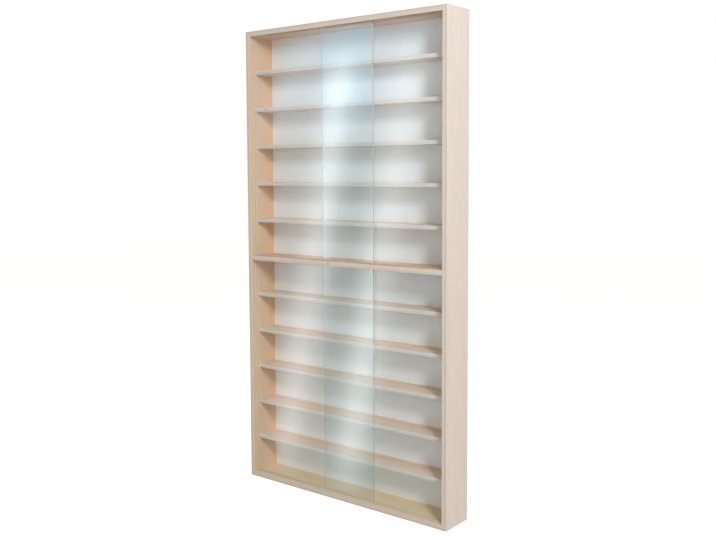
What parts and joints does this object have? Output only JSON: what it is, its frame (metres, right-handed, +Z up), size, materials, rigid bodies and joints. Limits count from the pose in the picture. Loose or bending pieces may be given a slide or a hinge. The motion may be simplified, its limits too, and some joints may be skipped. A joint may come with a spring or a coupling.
{
  "type": "wall display case",
  "caption": "Shallow birch plywood wall display case with equal compartments, a white back panel and sliding glass panes, hung by keyhole hangers.",
  "frame": {"origin": "on the wall plane, midway between the entries of the two hanger keyholes", "axes": "+Z up, +Y into the wall, +X to the right as seen from the front"},
  "size_m": [0.58, 0.0865, 1.1],
  "materials": {
    "birch_plywood": "clear matt lacquer",
    "white_panel": "white, satin",
    "clear_glass": "clear, polished",
    "zinc_steel": "zinc plated",
    "beech": "bare",
    "felt": "felt"
  },
  "bodies": {
    "case": {"left_side_board": "birch_plywood", "right_side_board": "birch_plywood", "top_board": "birch_plywood", "bottom_board": "birch_plywood", "middle_board": "birch_plywood", "shelf_01": "birch_plywood", "shelf_02": "birch_plywood", "shelf_03": "birch_plywood", "shelf_04": "birch_plywood", "shelf_05": "birch_plywood", "shelf_06": "birch_plywood", "shelf_07": "birch_plywood", "shelf_08": "birch_plywood", "shelf_09": "birch_plywood", "shelf_10": "birch_plywood", "back_panel": "white_panel", "back_panel_brads": "zinc_steel", "corner_biscuits": "beech", "left_wall_hanger": "zinc_steel", "right_wall_hanger": "zinc_steel", "hanger_screws": "zinc_steel", "wall_pads": "felt"},
    "lower_left_pane": {"lower_left_pane": "clear_glass"},
    "lower_right_pane": {"lower_right_pane": "clear_glass"},
    "upper_left_pane": {"upper_left_pane": "clear_glass"},
    "upper_right_pane": {"upper_right_pane": "clear_glass"}
  },
  "joints": [
    {"name": "lower_left_pane_slide", "type": "slide", "parent": "case", "child": "lower_left_pane", "axis": [1, 0, 0], "range_m": [0, 0.1887]},
    {"name": "lower_right_pane_slide", "type": "slide", "parent": "case", "child": "lower_right_pane", "axis": [1, 0, 0], "range_m": [-0.2167, 0]},
    {"name": "upper_left_pane_slide", "type": "slide", "parent": "case", "child": "upper_left_pane", "axis": [1, 0, 0], "range_m": [0, 0.1887]},
    {"name": "upper_right_pane_slide", "type": "slide", "parent": "case", "child": "upper_right_pane", "axis": [1, 0, 0], "range_m": [-0.2167, 0]}
  ]
}
